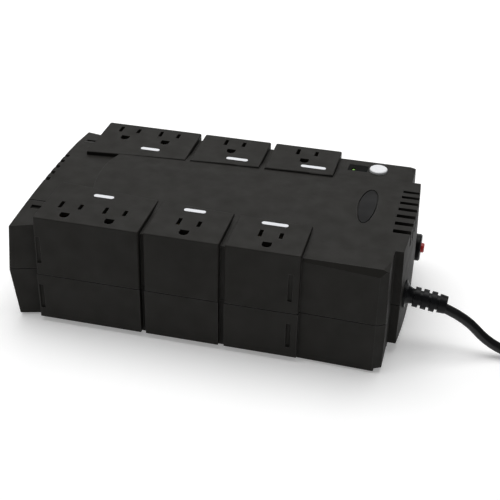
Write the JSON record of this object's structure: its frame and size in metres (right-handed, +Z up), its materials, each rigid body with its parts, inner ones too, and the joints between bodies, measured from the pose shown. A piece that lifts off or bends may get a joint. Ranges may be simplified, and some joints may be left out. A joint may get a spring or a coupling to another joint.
{
  "type": "uninterruptible power supply",
  "caption": "Low desktop battery backup unit with two rows of mains outlets on blocks, a power button, a breaker reset button, a sliding battery door and a coiled power cord.",
  "frame": {"origin": "on the floor, under the middle of the object's bounding box without its cord", "axes": "+X along the case to the end that the cord and the breaker are on, +Y across it to the row of outlets beside the power button, +Z up"},
  "size_m": [0.42, 0.1706, 0.0773],
  "materials": {
    "case_plastic": "finely textured black ABS",
    "door_plastic": "finely textured black ABS",
    "rubber": "soft black rubber",
    "screw_steel": "zinc-plated steel",
    "badge_plastic": "satin dark grey plate, left blank",
    "label_white": "printed white pill, left blank",
    "button_white": "white ABS",
    "switch_plastic": "black nylon",
    "circuit_board": "green glass-epoxy board",
    "window_dark": "dark smoked acrylic",
    "led_green": "green light-emitting diode",
    "breaker_black": "black phenolic",
    "reset_red": "red nylon",
    "contact_brass": "spring brass",
    "carrier_grey": "grey nylon",
    "battery_grey": "dark grey ABS battery case",
    "tinned_metal": "tinned brass tab",
    "core_steel": "varnished steel laminations",
    "winding_tape": "polyester tape over enamelled copper",
    "bracket_steel": "plated steel strap",
    "relay_plastic": "blue relay housing",
    "capacitor_sleeve": "shrink sleeve over aluminium can",
    "heatsink_aluminium": "extruded aluminium",
    "epoxy_black": "moulded epoxy",
    "varistor_blue": "epoxy-dipped disc",
    "fuse_holder": "blade fuse in its holder",
    "wire_black": "black PVC insulation",
    "wire_white": "white PVC insulation",
    "wire_green": "green PVC insulation",
    "wire_red": "red PVC insulation",
    "wire_yellow": "yellow PVC insulation",
    "cable_grey": "grey PVC insulation",
    "cord_pvc": "glossy black PVC jacket",
    "relief_pvc": "moulded black PVC",
    "tie_black": "black plastic-covered wire tie",
    "plug_pvc": "moulded black PVC",
    "plug_metal": "nickel-plated brass"
  },
  "bodies": {
    "case": {"upper_shell": "case_plastic", "lower_shell": "case_plastic", "rubber_feet": "rubber", "case_screws": "screw_steel", "badge_plate": "badge_plastic", "outlet_labels": "label_white", "power_switch": "switch_plastic", "control_board": "circuit_board", "control_board_screws": "screw_steel", "status_window": "window_dark", "status_led": "led_green", "breaker_body": "breaker_black", "breaker_terminals": "tinned_metal", "front_neutral_contacts": "contact_brass", "front_line_contacts": "contact_brass", "front_ground_contacts": "contact_brass", "rear_neutral_contacts": "contact_brass", "rear_line_contacts": "contact_brass", "rear_ground_contacts": "contact_brass", "front_outlet_carrier": "carrier_grey", "rear_outlet_carrier": "carrier_grey", "battery": "battery_grey", "battery_terminals": "tinned_metal", "transformer_core": "core_steel", "transformer_windings": "winding_tape", "transformer_bracket": "bracket_steel", "transformer_screws": "screw_steel", "main_board": "circuit_board", "relays": "relay_plastic", "capacitors": "capacitor_sleeve", "heatsinks": "heatsink_aluminium", "power_transistors": "epoxy_black", "varistors": "varistor_blue", "board_fuse": "fuse_holder", "buzzer": "epoxy_black", "controller_chip": "epoxy_black", "input_wire_line": "wire_black", "input_wire_neutral": "wire_white", "input_wire_ground": "wire_green", "outlet_feed_wires": "wire_black", "battery_lead_positive": "wire_red", "battery_lead_negative": "wire_black", "transformer_leads": "wire_yellow", "control_cable": "cable_grey", "strain_relief": "relief_pvc", "power_cord": "cord_pvc", "cord_coil": "cord_pvc", "cord_tail": "cord_pvc", "cord_tie": "tie_black", "power_plug": "plug_pvc", "plug_blades": "plug_metal", "plug_ground_pin": "plug_metal"},
    "power_button": {"power_button": "button_white", "switch_plunger": "switch_plastic"},
    "reset_button": {"breaker_reset_button": "reset_red"},
    "battery_door": {"battery_door": "door_plastic"}
  },
  "joints": [
    {"name": "power_button_press", "type": "slide", "parent": "case", "child": "power_button", "axis": [0, 0, -1], "range_m": [0, 0.0015], "stiffness_N_per_m": 800, "springref_m": -0.0005},
    {"name": "breaker_reset", "type": "slide", "parent": "case", "child": "reset_button", "axis": [1, 0, 0], "range_m": [0, 0.003]},
    {"name": "battery_door_slide", "type": "slide", "parent": "case", "child": "battery_door", "axis": [-1, 0, 0], "range_m": [0, 0.12]}
  ]
}
